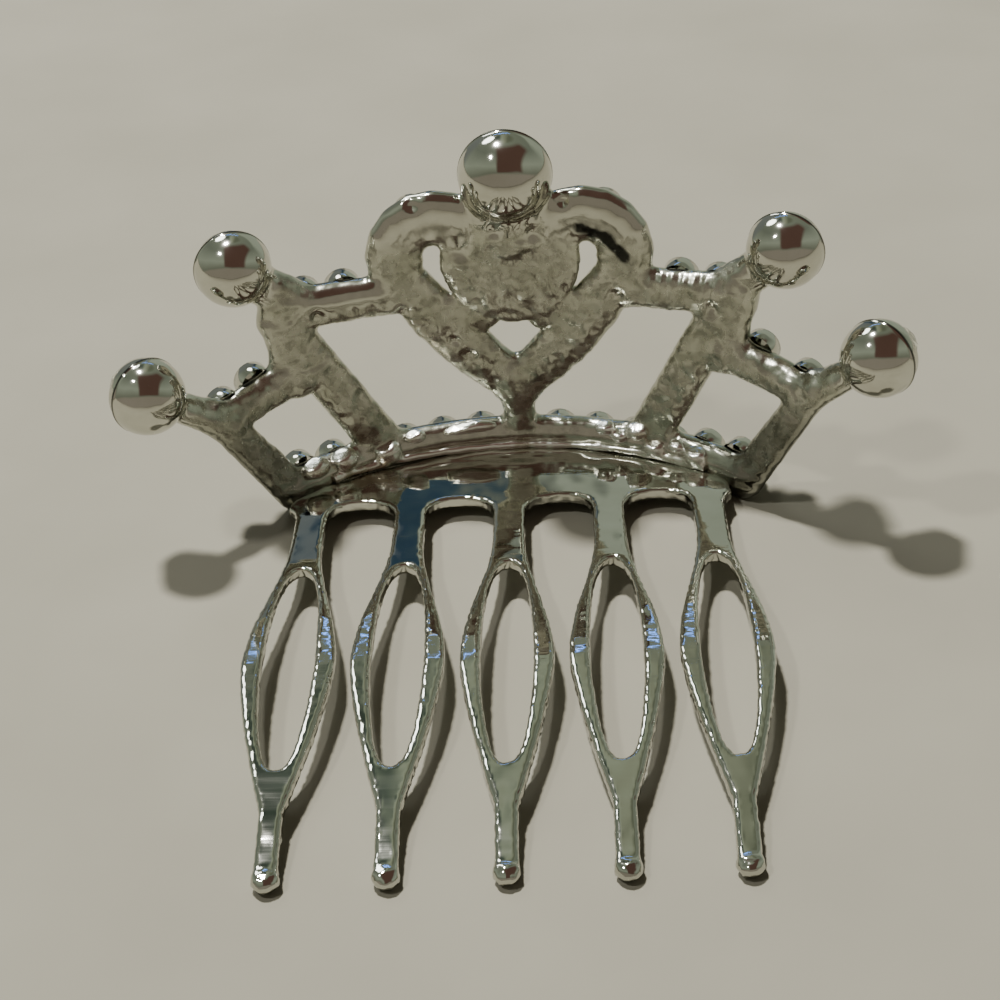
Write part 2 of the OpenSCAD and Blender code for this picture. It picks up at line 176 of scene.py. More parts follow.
# Their sizes, as (width, depth, width at the far end)
BAR_SIZE = (3.0,)
BALL_NECK_SIZE = (2.8,)
STRUT_SIZE = (3.2, 1.7)
POST_SIZE = {1: (3.1, 1.9, 2.6), -1: (2.8, 1.9, 2.6)}
STEM_SIZE = (2.8, 1.8, 1.8)
END_STRUT_SIZE = (2.4, 1.6, 2.8)
COLUMN_SIZE = (5.6, 3.6)
HEART_STEM_SIZE = (2.6, 1.9, 2.3)
CUP_LINK_SIZE = (2.0, 1.5)


def cast_bar(path, width, deep=CAST_DEPTH, end_width=None):
    """A bar's path, its widths as (share of its points, width), and its depth."""
    widths = width if isinstance(width, list) else [(0, width), (1, end_width or width)]
    return np.array(path, float), np.array(widths, float), deep


def flip(side, points):
    return [(side * p[0], p[1]) for p in points]


def side_bars(side):
    foot, joint = POST_FOOT[side], STEM_JOINT[side]
    bars = [([BAR_IN, BAR_OUT], BAR_SIZE), (NECK, BALL_NECK_SIZE),
            ([STRUT_TOP[side], STRUT_FOOT[side]], STRUT_SIZE),
            ([POST_START, foot, foot + POST_TAIL], POST_SIZE[side]),
            ([foot + STEM_BACK, joint, LOWER_BALL[side]], STEM_SIZE),
            ([joint + END_STRUT_START, BAND_END], END_STRUT_SIZE)]
    return [cast_bar(flip(side, path), *size) for path, size in bars]


def all_bars():
    band = [(-BAND_LENGTH / 2 + BAND_TRIM, BAND_W), (BAND_LENGTH / 2 - BAND_TRIM, BAND_W)]
    bars = [cast_bar(band, BAND_HEIGHT), cast_bar(COLUMN, *COLUMN_SIZE)]
    bars.append(cast_bar(HEART_STEM, *HEART_STEM_SIZE))
    for side in (-1, 1):
        bars.append(cast_bar(flip(side, heart_side()), HEART_WIDTHS))
        bars.append(cast_bar(flip(side, CUP_LINK), *CUP_LINK_SIZE))
        bars += side_bars(side)
    return bars


BARS = all_bars()

# Fields: negative inside the metal, positive outside, in millimetres

SECTION_POWER, CUP_POWER = 2.2, 8
BLEND, CUP_BLEND = 0.4, 0.25
# How near to a bar or ball its field is worked out
BAR_NEAR, BALL_NEAR = 1.2, 1.5
# How far a ball lies inside its cup, and the depth where it ends
BALL_INSET, BALL_FRONT = 0.06, 0.1


def blend(a, b, k):
    h = np.clip(0.5 + 0.5 * (b - a) / k, 0, 1)
    return b * (1 - h) + a * h - k * h * (1 - h)


def to_segment(a, b, u, w):
    """Distances to the line from a to b, and the nearest points' shares of its length."""
    ab = b - a
    s = np.clip(((u - a[0]) * ab[0] + (w - a[1]) * ab[1]) / (ab @ ab), 0, 1)
    return np.hypot(u - a[0] - s * ab[0], w - a[1] - s * ab[1]), s


def bar_field(bar, u, w, d):
    path, widths, deep = bar
    best = np.full(u.shape, FAR)
    n = len(path) - 1
    power = SECTION_POWER
    for i in range(n):
        across, s = to_segment(path[i], path[i + 1], u, w)
        half = np.interp((i + s) / n, widths[:, 0], widths[:, 1]) / 2
        round_section = ((across / half) ** power + (np.abs(d) * 2 / deep) ** power) ** (1 / power)
        best = np.minimum(best, (round_section - 1) * np.minimum(half, deep / 2))
    return best


def disc_field(centre, radius, back, front, power, u, w, d):
    """A round block between two depths, with rounded edges."""
    across = np.hypot(u - centre[0], w - centre[1])
    middle, deep = (front - back) / 2, (front + back) / 2
    section = (np.abs(across / radius) ** power + np.abs((d - middle) / deep) ** power) ** (1 / power)
    return (section - 1) * deep


def ball_field(ball, u, w, d):
    away = np.linalg.norm(place(u, w, d) - place(ball[0], ball[1], 0.0), axis=-1)
    sphere = away - (ball[2] - BALL_INSET)
    return np.maximum(sphere, d - BALL_FRONT)


def near_bar(bar, u, w):
    reach = bar[1][:, 1].max() / 2 + BAR_NEAR
    low, high = bar[0].min(axis=0) - reach, bar[0].max(axis=0) + reach
    return (u > low[0]) & (u < high[0]) & (w > low[1]) & (w < high[1])


def frame_field(u, w, d):
    """The whole casting: the bars, the heart's cup and the balls."""
    total = np.full(u.shape, FAR)
    for bar in BARS:
        near = near_bar(bar, u, w)
        total[near] = blend(total[near], bar_field(bar, u[near], w[near], d[near]), BLEND)
    near = np.hypot(u - HEART_DOME[0], w - HEART_DOME[1]) < HEART_DOME[2] + BAR_NEAR
    at = u[near], w[near], d[near]
    dome = disc_field(HEART_DOME, HEART_DOME[2], DOME_BACK, DOME_FRONT, SECTION_POWER, *at)
    cup = disc_field(HEART_CUP, CUP_RADIUS, HALF_DEPTH, HEART_GIRDLE, CUP_POWER, *at)
    total[near] = blend(total[near], np.minimum(dome, cup), CUP_BLEND)
    for ball in BALLS:
        near = np.hypot(u - ball[0], w - ball[1]) < ball[2] + BALL_NEAR
        total[near] = blend(total[near], ball_field(ball, u[near], w[near], d[near]), BLEND)
    return total


# Surfaces from fields. A grid is its low corner, high corner, step, and rounds of settling.

CORNERS = [(i, j, k) for i in (0, 1) for j in (0, 1) for k in (0, 1)]
# How far apart a field's slope is measured, its least square, and a point's longest move
SLOPE_REACH, LEAST_SLOPE, LONGEST_MOVE = 0.05, 0.05, 0.2


def corner_of(grid, c):
    """The grid's values at that corner of each cell."""
    return grid[tuple(slice(c[x], c[x] + grid.shape[x] - 1) for x in range(3))]


def net_points(values, active):
    """For each active cell, the mean of the places where its edges cross zero."""
    total = np.zeros((active.sum(), 3))
    crossings = np.zeros(active.sum())
    for a in CORNERS:
        for axis in range(3):
            if a[axis]:
                continue
            b = tuple(a[x] + (x == axis) for x in range(3))
            va, vb = corner_of(values, a)[active], corner_of(values, b)[active]
            cut = (va < 0) != (vb < 0)
            share = np.where(cut, va / np.where(cut, va - vb, 1), 0)
            at = np.array(a, float) + share[:, None] * (np.array(b) - np.array(a))
            total += at * cut[:, None]
            crossings += cut
    return np.argwhere(active) + total / crossings[:, None]


def net_quads(inside, index):
    """A quad round each edge of the grid that crosses the surface."""
    cells = index.shape
    quads = []
    for axis in range(3):
        s, t = (axis + 1) % 3, (axis + 2) % 3
        low = [slice(1, cells[x]) for x in range(3)]
        low[axis] = slice(0, cells[axis])
        high = list(low)
        high[axis] = slice(1, cells[axis] + 1)
        one, two = inside[tuple(low)], inside[tuple(high)]
        cut = one != two
        at = np.argwhere(cut)
        around = []
        for ds, dt in ((0, 0), (1, 0), (1, 1), (0, 1)):
            c = at.copy()
            c[:, s] += ds
            c[:, t] += dt
            around.append(index[c[:, 0], c[:, 1], c[:, 2]])
        quad = np.stack(around, axis=1)
        turned = ~one[cut]
        quad[turned] = quad[turned][:, ::-1]
        quads.append(quad)
    return np.concatenate(quads)


def surface_net(values, origin, step):
    """The zero surface of a grid of values, as points and quads."""
    inside = values < 0
    count = sum(corner_of(inside, c).astype(np.int8) for c in CORNERS)
    active = (count > 0) & (count < len(CORNERS))
    index = np.full(active.shape, -1)
    index[active] = np.arange(active.sum())
    return origin + step * net_points(values, active), net_quads(inside, index)


def settle(points, field, rounds):
    """Moves points onto the zero surface of a field."""
    for _ in range(rounds):
        value = field(*points.T)
        slope = np.stack([field(*(points + SLOPE_REACH * e).T) - field(*(points - SLOPE_REACH * e).T)
                          for e in np.eye(3)], axis=1) / (2 * SLOPE_REACH)
        size = np.maximum((slope ** 2).sum(1), LEAST_SLOPE)
        points = points - np.clip(value / size, -LONGEST_MOVE, LONGEST_MOVE)[:, None] * slope
    return points


def field_surface(field, low, high, step, rounds):
    """Points and quads of a field's zero surface inside a box."""
    axes = [np.arange(low[x], high[x], step) for x in range(3)]
    grid = np.meshgrid(*axes, indexing="ij")
    values = field(*(g.ravel() for g in grid)).reshape(grid[0].shape)
    points, quads = surface_net(values, np.array(low), step)
    return settle(points, field, rounds), quads


# Mesh helpers

NOISE_FALL, NOISE_FINER = 0.7, 2.0


def new_object(name, points, faces, smooth=True):
    mesh = bpy.data.meshes.new(name)
    mesh.from_pydata((np.asarray(points) * MM).tolist(), [], [list(map(int, f)) for f in faces])
    mesh.validate()
    mesh.polygons.foreach_set("use_smooth", [smooth] * len(mesh.polygons))
    return add_object(name, mesh)


def set_attribute(obj, name, values):
    attribute = obj.data.attributes.new(name, "FLOAT", "POINT")
    attribute.data.foreach_set("value", np.asarray(values, np.float32))


def lathe(profile, sides):
    """Points and quads of a turned profile of [radius, depth]."""
    turns = np.linspace(0, 2 * math.pi, sides, endpoint=False)
    points = [(r * math.cos(a), r * math.sin(a), d) for r, d in profile for a in turns]
    faces = []
    for i in range(len(profile) - 1):
        for j in range(sides):
            near, far = i * sides, (i + 1) * sides
            k = (j + 1) % sides
            faces.append((near + j, near + k, far + k, far + j))
    return np.array(points), faces


def set_on(points, u, w, d=0.0):
    """Moves a lathe's points to a place of the pattern."""
    turn = u * bend_at(w)
    c, s = math.cos(turn), math.sin(turn)
    x, z, depth = points[:, 0], points[:, 1], points[:, 2]
    return place(u, w, d) + np.stack([c * x + s * depth, s * x - c * depth, z], axis=1)


def rough(points, size, octaves=3):
    """Smooth noise of that grain size at each point."""
    return np.array([noise.fractal(Vector(p) / size, NOISE_FALL, NOISE_FINER, octaves) for p in points])


def push_out(obj, amounts):
    """Moves each vertex along its normal, in millimetres."""
    obj.data.update()
    vertices = obj.data.vertices
    co, normal = np.zeros(len(vertices) * 3), np.zeros(len(vertices) * 3)
    vertices.foreach_get("co", co)
    vertices.foreach_get("normal", normal)
    vertices.foreach_set("co", co + normal * np.repeat(amounts * MM, 3))
    obj.data.update()


def keep_above_floor(obj):
    for vertex in obj.data.vertices:
        vertex.co.z = max(vertex.co.z, 0)


def join(objects, name):
    bpy.ops.object.select_all(action="DESELECT")
    for o in objects:
        o.select_set(True)
    bpy.context.view_layer.objects.active = objects[0]
    bpy.ops.object.join()
    objects[0].name = name
    return objects[0]


# Node helpers. A tree is a material's or the world's node tree.


def new_material(name, metallic=0):
    """A material, its node tree and its shader."""
    material = bpy.data.materials.new(name)
    material.use_nodes = True
    shader = material.node_tree.nodes["Principled BSDF"]
    shader.inputs["Metallic"].default_value = metallic
    return material, material.node_tree, shader


def add_node(tree, kind, inputs):
    """A node, with each of these inputs linked or set."""
    node = tree.nodes.new(kind)
    for key, value in inputs.items():
        if isinstance(value, bpy.types.NodeSocket):
            tree.links.new(value, node.inputs[key])
        else:
            node.inputs[key].default_value = value
    return node


def noise_node(tree, scale, detail, stretch=(1, 1, 1)):
    coords = tree.nodes.new("ShaderNodeTexCoord").outputs["Object"]
    mapping = add_node(tree, "ShaderNodeMapping", {"Vector": coords, "Scale": stretch})
    inputs = {"Vector": mapping.outputs["Vector"], "Scale": scale, "Detail": detail}
    return add_node(tree, "ShaderNodeTexNoise", inputs).outputs["Fac"]


def ramp(tree, value, stops):
    """Colours by value, from stops of (value, colour)."""
    node = add_node(tree, "ShaderNodeValToRGB", {"Fac": value})
    while len(node.color_ramp.elements) < len(stops):
        node.color_ramp.elements.new(0.5)
    for element, (at, colour) in zip(node.color_ramp.elements, stops):
        element.position = at
        element.color = (*colour, 1)
    return node.outputs["Color"]


def map_range(tree, value, low, high, to_low, to_high):
    inputs = {"Value": value, "From Min": low, "From Max": high, "To Min": to_low, "To Max": to_high}
    return add_node(tree, "ShaderNodeMapRange", inputs).outputs["Result"]


def combine(tree, kind, a, b):
    """A sum or product of two values."""
    node = add_node(tree, "ShaderNodeMath", {0: a, 1: b})
    node.operation = kind
    return node.outputs[0]


def mix_colour(tree, share, a, b):
    """From a to b by share. Each is a node's colour or a plain one."""
    node = add_node(tree, "ShaderNodeMix", {"Factor": share})
    node.data_type = "RGBA"
    for name, v in (("A", a), ("B", b)):
        socket = [s for s in node.inputs if s.name == name and s.type == "RGBA"][0]
        if isinstance(v, tuple):
            socket.default_value = (*v, 1)
        else:
            tree.links.new(v, socket)
    return [s for s in node.outputs if s.type == "RGBA"][0]


def bump(tree, height, strength, distance, under=None):
    inputs = {"Height": height, "Strength": strength, "Distance": distance}
    if under is not None:
        inputs["Normal"] = under
    return add_node(tree, "ShaderNodeBump", inputs).outputs["Normal"]


def attribute(tree, name):
    node = tree.nodes.new("ShaderNodeAttribute")
    node.attribute_name = name
    return node.outputs["Fac"]


def link_shader(tree, shader, base=None, roughness=None, normal=None):
    for name, value in (("Base Color", base), ("Roughness", roughness), ("Normal", normal)):
        if value is not None:
            tree.links.new(value, shader.inputs[name])


# Materials. Noises are (scale, detail, stretch), ranges are (from low, from high, to low, to high),
# and bumps are (strength, distance in metres).

CAST_GRAIN = (1300, 3)
CAST_BLOTCH = (380, 3)
CAST_CLEAN = [(0.3, (0.53, 0.525, 0.46)), (0.7, (0.61, 0.605, 0.545))]
CAST_DULL = [(0.3, (0.28, 0.282, 0.222)), (0.66, (0.505, 0.51, 0.42))]
CAST_PATCHES = (0.35, 0.62, 0.4, 0.95)
CAST_STAIN_AND_SHADE = (0.035, 0.035, 0.03)
CLEAN_ROUGHNESS = (0.3, 0.7, 0.05, 0.10)
CAST_ROUGHNESS = (0.3, 0.7, 0.13, 0.25)
CAST_BUMP = (0.15, 0.00025)

COMB_BLOTCH = (180, 3)
COMB_TONES = [(0.3, (0.50, 0.50, 0.445)), (0.7, (0.62, 0.62, 0.565))]
COMB_STAIN = (0.26, 0.19, 0.10)
COMB_BRUSHING = (900, 3, (0.12, 1, 1))
COMB_WAVES = (260, 2, (0.3, 1, 1))
COMB_ROUGHNESS = (0.3, 0.7, 0.04, 0.08)
STAIN_ROUGHNESS = 0.3
WAVES_BUMP = (0.12, 0.0006)
BRUSHING_BUMP = (0.15, 0.00012)

SOLDER_BLOTCH = (900, 4)
SOLDER_TONES = [(0.35, (0.62, 0.60, 0.51)), (0.6, (0.86, 0.86, 0.82))]
SOLDER_ROUGHNESS = (0.3, 0.7, 0.28, 0.18)
SOLDER_BUMP = (0.25, 0.0002)

GLASS_TONE = (0.94, 0.96, 0.88, 1)
GLASS_IOR = 1.6
GLASS_DUST = (1500, 3)
DUST_ROUGHNESS = (0.4, 0.8, 0.01, 0.06)

FOIL_MOTTLE = (700, 2)
FOIL_TONES = [(0.35, (0.72, 0.73, 0.62)), (0.65, (0.90, 0.91, 0.82))]
FOIL_ROUGHNESS = (0.3, 0.7, 0.12, 0.24)


def frame_material():
    """Bright cast metal, dull and grainy where the mesh's cast value is high."""
    material, tree, shader = new_material("silver_tone_cast", metallic=1)
    cast = attribute(tree, "cast")
    stain_and_painted_light = attribute(tree, "stain_and_painted_light")
    grain = noise_node(tree, *CAST_GRAIN)
    blotch = noise_node(tree, *CAST_BLOTCH)
    clean = ramp(tree, blotch, CAST_CLEAN)
    dull = ramp(tree, grain, CAST_DULL)
    patchy = combine(tree, "MULTIPLY", cast, map_range(tree, blotch, *CAST_PATCHES))
    base = mix_colour(tree, patchy, clean, dull)
    # Darker where tarnish lies in hollows, and where shade and a dark reflection are painted
    base = mix_colour(tree, stain_and_painted_light, base, CAST_STAIN_AND_SHADE)
    smooth = map_range(tree, blotch, *CLEAN_ROUGHNESS)
    coarse = map_range(tree, grain, *CAST_ROUGHNESS)
    roughness = combine(tree, "ADD", smooth, combine(tree, "MULTIPLY", cast, coarse))
    height = combine(tree, "MULTIPLY", grain, cast)
    link_shader(tree, shader, base, roughness, bump(tree, height, *CAST_BUMP))
    return material


def comb_material():
    """Polished steel, brushed and a little wavy, with a dull spot of flux."""
    material, tree, shader = new_material("polished_steel", metallic=1)
    base = ramp(tree, noise_node(tree, *COMB_BLOTCH), COMB_TONES)
    base = mix_colour(tree, attribute(tree, "stain_and_painted_light"), base, COMB_STAIN)
    brushing = noise_node(tree, *COMB_BRUSHING)
    wide = noise_node(tree, *COMB_WAVES)
    roughness = map_range(tree, brushing, *COMB_ROUGHNESS)
    dull = combine(tree, "MULTIPLY", attribute(tree, "cast"), STAIN_ROUGHNESS)
    roughness = combine(tree, "ADD", roughness, dull)
    waves = bump(tree, wide, *WAVES_BUMP)
    link_shader(tree, shader, base, roughness, bump(tree, brushing, *BRUSHING_BUMP, under=waves))
    return material


def solder_material():
    material, tree, shader = new_material("solder", metallic=1)
    blotch = noise_node(tree, *SOLDER_BLOTCH)
    base, roughness = ramp(tree, blotch, SOLDER_TONES), map_range(tree, blotch, *SOLDER_ROUGHNESS)
    link_shader(tree, shader, base, roughness, bump(tree, blotch, *SOLDER_BUMP))
    return material


def glass_material():
    material, tree, shader = new_material("cut_glass")
    shader.inputs["Base Color"].default_value = GLASS_TONE
    shader.inputs["Transmission Weight"].default_value = 1
    shader.inputs["IOR"].default_value = GLASS_IOR
    dust = noise_node(tree, *GLASS_DUST)
    link_shader(tree, shader, roughness=map_range(tree, dust, *DUST_ROUGHNESS))
    return material


def foil_material():
    material, tree, shader = new_material("foil", metallic=1)
    mottle = noise_node(tree, *FOIL_MOTTLE)
    link_shader(tree, shader, ramp(tree, mottle, FOIL_TONES), map_range(tree, mottle, *FOIL_ROUGHNESS))
    return material


# The comb's sizes, with Y measured back from the tips of the teeth

TEETH, MID_TOOTH, TOOTH_PITCH = 5, 2, 7.0
COMB_LENGTH, SHEET = 46.7, 0.9
TOOTH_WIDTH, EYE_WIDTH, NECK_WIDTH, SHAFT_WIDTH = 6.05, 3.4, 2.2, 1.4
COMB_OFFSET, COMB_TURN = 0.8, math.radians(1.3)
TIP_AT, KINK_AT, EYE_FOOT_AT, WIDE_AT, EYE_TOP_AT, NECK_AT, BAR_AT = 0.7, 5.5, 8.7, 17.9, 28.9, 32.2, 38.1
# The height of the sheet's underside at these distances from the tips
RISE_AT = [0, 1.2, 4, 8, 13, 18, 23, 28, 33, 38, 44, 52]
RISE = [0.2, 0.25, 0.75, 1.35, 1.85, 2.1, 2.1, 1.85, 1.4, 0.85, 0.15, 0.1]
# The height at which the comb's bar meets the band's back
SEAM_W = 0.9

# Solder: drops as (u, least height, radius, stretch along the band)

DROPS = [
    (16.3, 3.0, 0.75, 1.5), (13.9, 2.8, 0.85, 1.3), (10.4, 2.3, 0.95, 1.2), (8.1, 3.0, 0.55, 1.6),
    (3.9, 3.0, 0.5, 4.5), (-6.6, 3.0, 0.6, 1.3), (-7.8, 2.5, 0.6, 1.2), (-9.2, 3.1, 0.7, 1.3),
    (-10.6, 2.0, 0.7, 1.4), (-12.4, 2.6, 0.5, 1.3), (-14.1, 2.3, 0.75, 1.3)]
DROP_CLEAR, DROP_SINK, DROP_BLEND = 0.06, 0.1, 0.3
# A drop's flatter side: its direction, its place as a share of the radius, and its soft edge
FLAT_SIDE, FLAT_SHARE, FLAT_EDGE = (0.18, 0.235, 0.955), 0.7, 0.15
# The uneven bead along the seam: its place, size and swelling
BAR_BEHIND = 1.4
SEAM_UP, SEAM_BACK, SEAM_RADIUS, SEAM_HALF_LENGTH = 0.22, 0.08, 0.32, 15.2
SEAM_SWELL, SEAM_WAVES = 0.05, (1.1, 0.7)
SOLDER_GRID = [-18.0, 0.3, -2.6], [18.0, 4.6, 0.2], 0.13, 0
SOLDER_ROUGH = 0.05


def bar_top(u):
    """Height of the comb's upper face just behind the band."""
    back = place(u, SEAM_W, -HALF_DEPTH - BAR_BEHIND)
    return SHEET + np.interp(COMB_LENGTH + BAND_Y - back[..., 1], RISE_AT, RISE)


def seam_field(u, w, d):
    away = np.hypot(w - bar_top(u) - SEAM_UP, d + HALF_DEPTH + SEAM_BACK)
    swell = SEAM_SWELL * np.sin(SEAM_WAVES[0] * u) * np.sin(SEAM_WAVES[1] * u + 1)
    return np.maximum(away - SEAM_RADIUS - swell, np.abs(u) - SEAM_HALF_LENGTH)


def drop_field(drop, u, w, d):
    """A drop on the band's back, above the comb's bar."""
    at_u, at_w, radius, stretch = drop
    foot = max(at_w, float(bar_top(at_u)) + DROP_CLEAR + radius)
    along_u, up, deep = (u - at_u) / stretch, w - foot, d + HALF_DEPTH - DROP_SINK
    ball = np.sqrt(along_u ** 2 + up ** 2 + deep ** 2) - radius
    turn = at_u * bend_at(at_w)
    c, s = math.cos(turn), math.sin(turn)
    flat_u, flat_d = FLAT_SIDE[0] * c + FLAT_SIDE[1] * s, FLAT_SIDE[0] * s - FLAT_SIDE[1] * c
    flat = (u - at_u) * flat_u + up * FLAT_SIDE[2] + deep * flat_d - FLAT_SHARE * radius
    return -blend(-ball, -flat, FLAT_EDGE)


def solder_field(u, w, d):
    total = seam_field(u, w, d)
    for drop in DROPS:
        total = blend(total, drop_field(drop, u, w, d), DROP_BLEND)
    return total


def build_solder():
    points, quads = field_surface(solder_field, *SOLDER_GRID)
    solid = place(*points.T)
    solder = new_object("solder", solid, quads[:, ::-1])
    push_out(solder, SOLDER_ROUGH * rough(solid, 1.0, 2))
    solder.data.materials.append(solder_material())
    return solder


# Ball cups and stone collars, turned from profiles of (radius, depth)

BALL_SIDES, COLLAR_SIDES, HEART_COLLAR_SIDES = 64, 24, 48
BACK_POINTS, BALL_LENGTHEN, BALL_TIP = 22, 1.04, 0.001
# Radii beyond the ball's, then beyond the rim's
SHOULDER = [(0.03, 0.02), (0.03, 0.2), (-0.03, 0.24)]
RIM = [(0.04, 0.26), (0, 0.34), (0, 1), (-0.05, 1.1), (-0.16, 1.13), (-0.22, 1.06), (-0.24, 0.4)]
# Depths of a cup's crimped edge that gets a line of painted shade, how dark that shade is, and how dented its
# back is
EDGE_SHADE_DEPTHS, EDGE_SHADE, BALL_DENT = (0.01, 0.27), 0.85, 0.012
# Collars: (wall, foot's depth, top's depth), gap to the stone, and the edges' rounding
SMALL_COLLAR = (0.22, 0.2, SMALL_GIRDLE + 0.1)
HEART_COLLAR = (0.55, 0.4, HEART_GIRDLE + 0.15)
COLLAR_GAP, COLLAR_RISE = 0.04, 0.3
FOOT_EDGE, OUTER_EDGE, INNER_EDGE = 0.05, 0.06, (0.04, 0.05)

# Small stones: the ring's distance outside the heart's bar, its spacing, and the other rows
RING_OUT, RING_STEP, RING_HALF = 0.3, 0.148, 6
BAR_STONES_AT, BAR_STONE_LIFT = (11.8, 14.6), 0.5
STEM_STONES_AT, STEM_STONE_LIFT = {1: (0.43, 0.88), -1: (0.3, 0.88)}, 0.3
BAND_STONES, BAND_STONE_PITCH = 13, 2.8
BAND_END_LIFTS = [0.8, 0.5] + [0] * 9 + [0.5, 0.8]


def ball_profile(radius):
    """A cup with a round back, a crimped edge and a thin rim."""
    turns = np.linspace(-math.pi / 2 + BALL_TIP, 0, BACK_POINTS)
    back = [(radius * math.cos(a), BALL_LENGTHEN * radius * math.sin(a)) for a in turns]
    rim = RIM_SHARE * radius
    shoulder = [(radius + out, depth) for out, depth in SHOULDER]
    return back + shoulder + [(rim + out, depth) for out, depth in RIM]


def collar_profile(stone_radius, wall, foot, top):
    outer, inner = stone_radius + wall, stone_radius + COLLAR_GAP
    return [(outer - FOOT_EDGE, foot), (outer, foot + COLLAR_RISE), (outer, top - OUTER_EDGE),
            (outer - OUTER_EDGE, top), (inner + INNER_EDGE[0], top), (inner, top - INNER_EDGE[1]),
            (inner, foot + COLLAR_RISE)]


def along(path, share):
    """The point at that share of a path's length."""
    steps = np.linalg.norm(np.diff(path, axis=0), axis=1)
    far = np.concatenate([[0], np.cumsum(steps)])
    at = share * far[-1]
    return np.array([np.interp(at, far, path[:, 0]), np.interp(at, far, path[:, 1])])


def small_places():
    """The small stones' places: the ring, the bars, the stems and the band."""
    side = np.array(heart_side(RING_OUT))
    half = [along(side, i * RING_STEP) for i in range(1, RING_HALF + 1)]
    ring = [(-p[0], p[1]) for p in half[::-1]] + [tuple(HEART_TIP)] + [tuple(p) for p in half]
    bars = [(s * u, BAR_W + BAR_STONE_LIFT) for s in (-1, 1) for u in BAR_STONES_AT]
    on_stems = [(s, mix(POST_FOOT[s], STEM_JOINT[s], at)) for s in (-1, 1) for at in STEM_STONES_AT[s]]
    stems = [(s * p[0], p[1] + STEM_STONE_LIFT) for s, p in on_stems]
    middle = BAND_STONES // 2
    band = [((i - middle) * BAND_STONE_PITCH, BAND_W + BAND_END_LIFTS[i]) for i in range(BAND_STONES)]
    return ring + bars + stems + band


def build_ring(profile, u, w, sides):
    """One cup or collar."""
    turned, faces = lathe(profile, sides)
    ring = new_object("ring", set_on(turned, u, w), faces)
    depth = turned[:, 2]
    stain_and_painted_light = np.zeros(len(turned))
    if sides == BALL_SIDES:
        push_out(ring, BALL_DENT * rough(turned + u, 1.0, 2) * (depth < 0))
        # A thin line of painted shade where the rim steps in
        stain_and_painted_light = EDGE_SHADE * ((depth > EDGE_SHADE_DEPTHS[0]) & (depth < EDGE_SHADE_DEPTHS[1]))
    set_attribute(ring, "cast", np.zeros(len(turned)))
    set_attribute(ring, "stain_and_painted_light", stain_and_painted_light)
    return ring


def build_rings():
    small = collar_profile(SMALL_STONE / 2, *SMALL_COLLAR)
    big = collar_profile(CUP_RADIUS - CUP_WALL, *HEART_COLLAR)
    rings = [build_ring(ball_profile(radius), u, w, BALL_SIDES) for u, w, radius in BALLS]
    rings += [build_ring(small, u, w, COLLAR_SIDES) for u, w in small_places()]
    return rings + [build_ring(big, *HEART_CUP, HEART_COLLAR_SIDES)]


# The casting's surface. A soft box is (middle, half size), each as (u, w).

FRAME_GRID = [-31.0, -0.5, -3.8], [31.0, 27.0, 3.2], 0.2, 3
# The roughness fades from this depth forwards, and above the lobes' middles
BACK_FROM, BACK_FADE = 0.6, 1.2
LOBE_FROM, LOBE_FADE, LOBE_SPAN = 0.6, 1.2, (2.5, 9.5)
LOBE_POLISH, GROOVE_POLISH, BAND_POLISH, KNOB_POLISH = 0.9, 0.85, 0.55, 0.8
BALL_OUT, BALL_FADE = 0.8, 0.6
BAND_POLISH_HALF = 1.5
# A smooth groove on the bar to +X, ribs on the bar to -X, and a rough patch under the middle ball
GROOVE = ((12.0, 15.2), (3.4, 0.9))
RIBS = ((-12.3, 15.3), (3.2, 0.8))
COLUMN_PATCH = ((0.0, 19.3), (3.0, 1.9))
RIB_PITCH, RIDGE_PITCH, RIDGE_HALF = 0.8, 0.95, 1.3
# How far each of these stands out, in millimetres
LUMP_RELIEF, COLUMN_RELIEF, FINE_RELIEF = 0.11, 0.08, 0.02
RIDGE_RELIEF, RIB_RELIEF, GROOVE_DEPTH = 0.04, 0.09, 0.12
# Grain sizes, and an offset between the coarse and the fine grain
LUMP_SIZE, FINE_SIZE, FINE_OFFSET = 1.1, 0.4, 40
# Small bright lumps, as (u, w, radius)
LUMPS = [
    (0.9, 19.6, 0.55), (-1.8, 19.3, 0.55), (3.6, 18.0, 0.8), (6.6, 21.6, 0.4), (-3.9, 21.5, 0.4),
    (-7.6, 14.2, 0.45), (7.9, 13.4, 0.4), (3.4, 9.4, 0.4), (4.4, 10.6, 0.4), (14.2, 14.3, 0.4),
    (-14.6, 14.0, 0.45)]
LUMP_HEIGHT = 0.3
# The cast look that even polished places keep
LEAST_CAST = 0.15
# Middle line, width and soft edge of a dark reflection painted on the heart's lobe to -X
REFLECTION_LINE = np.array([(-5.1, 19.5), (-6.6, 18.9), (-7.9, 17.8), (-8.3, 17.2)])
REFLECTION_WIDTH, REFLECTION_EDGE = 0.85, 0.15
# Painted shade darkens the outer struts: from this far out, and below this height
OUTER_FROM, OUTER_FADE, OUTER_BELOW, OUTER_DROP, OUTER_SHADE = 15.5, 2, 9.5, 3, 0.5
# Hollows are darker: share of the relief, where it starts, and the most
HOLLOW_SHARE, HOLLOW_START, HOLLOW_MOST = 0.6, 0.25, 0.35


def soft_box(box, powers, u, w):
    """About 1 inside the box, falling softly to 0 outside it."""
    middle, half = box
    return np.exp(-((u - middle[0]) / half[0]) ** powers[0] - ((w - middle[1]) / half[1]) ** powers[1])


def back_share(d):
    return np.clip((BACK_FROM - d) / BACK_FADE, 0, 1)


